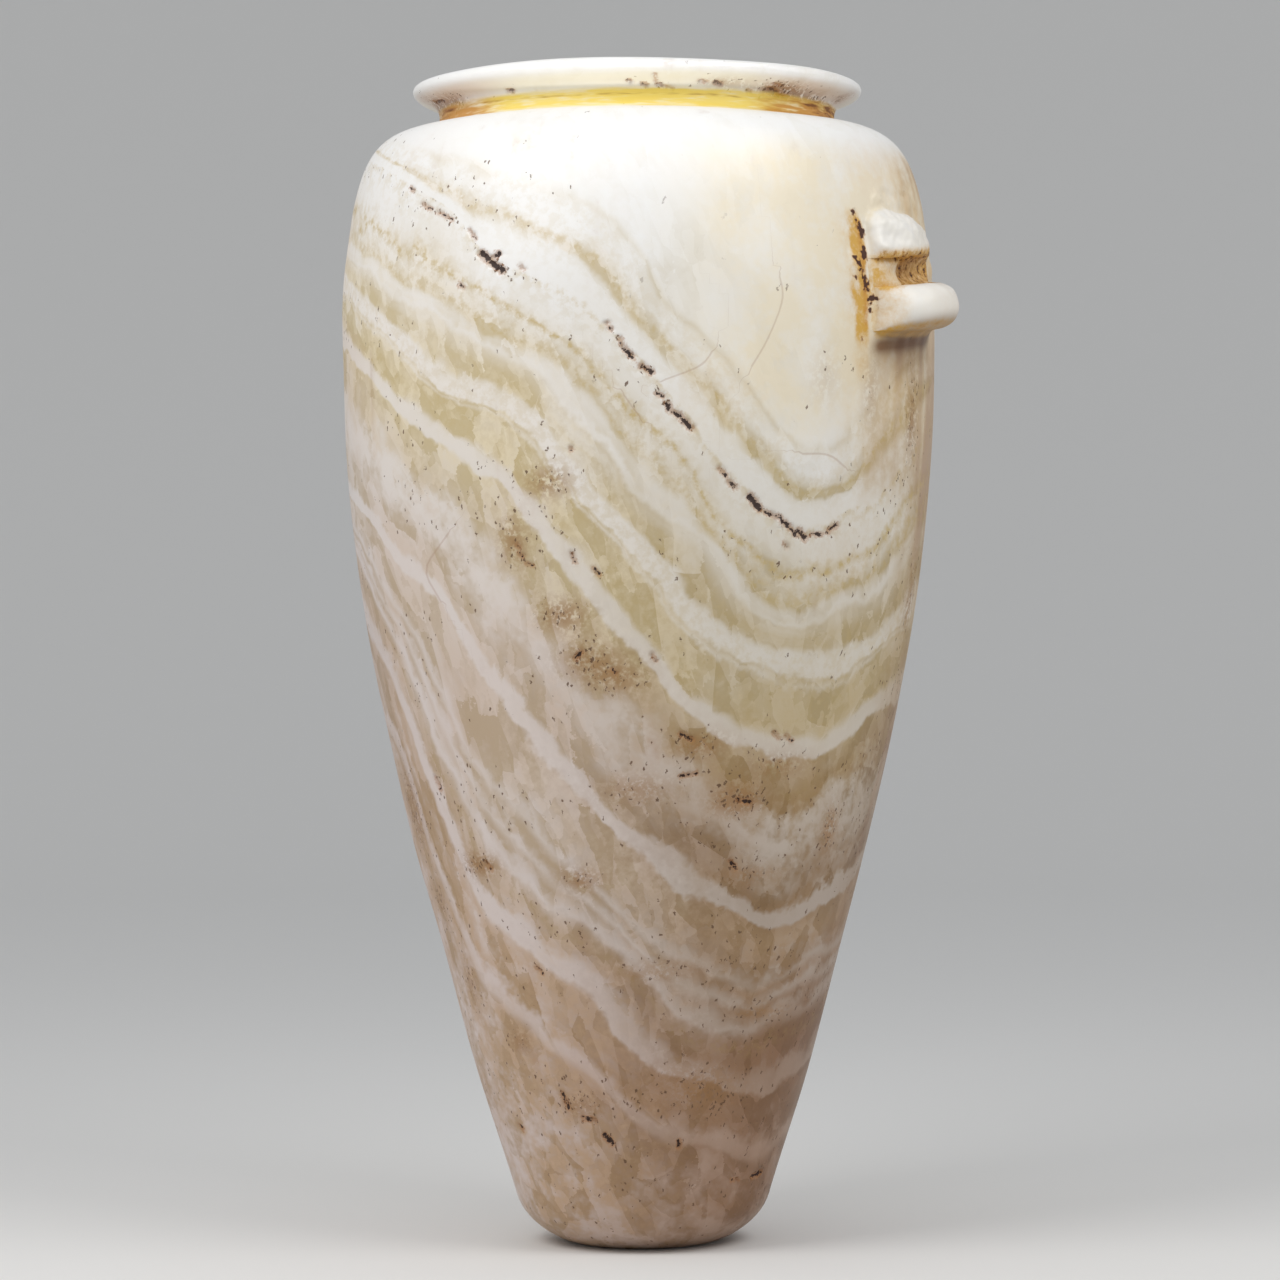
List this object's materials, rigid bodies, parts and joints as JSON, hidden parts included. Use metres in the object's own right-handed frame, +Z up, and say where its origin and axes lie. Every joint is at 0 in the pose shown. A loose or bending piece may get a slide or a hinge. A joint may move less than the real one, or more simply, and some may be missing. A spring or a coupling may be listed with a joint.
{
  "type": "lug-handled jar",
  "caption": "Tall carved stone jar with a small flat foot, high round shoulder, flanged rim, hollow open inside and one pierced lug handle, its outer wall broken away.",
  "frame": {"origin": "centre of the flat foot, on its underside", "axes": "+Z up along the jar's axis, +X out through the lug handle"},
  "size_m": [0.2201, 0.2046, 0.4],
  "materials": {
    "banded_stone": "hand-polished satin travertine, cream and white growth bands over honey-green translucent beds, with brown dirt in pits, cracks, neck groove and lug"
  },
  "bodies": {
    "root": {"jar": "banded_stone"}
  },
  "joints": []
}
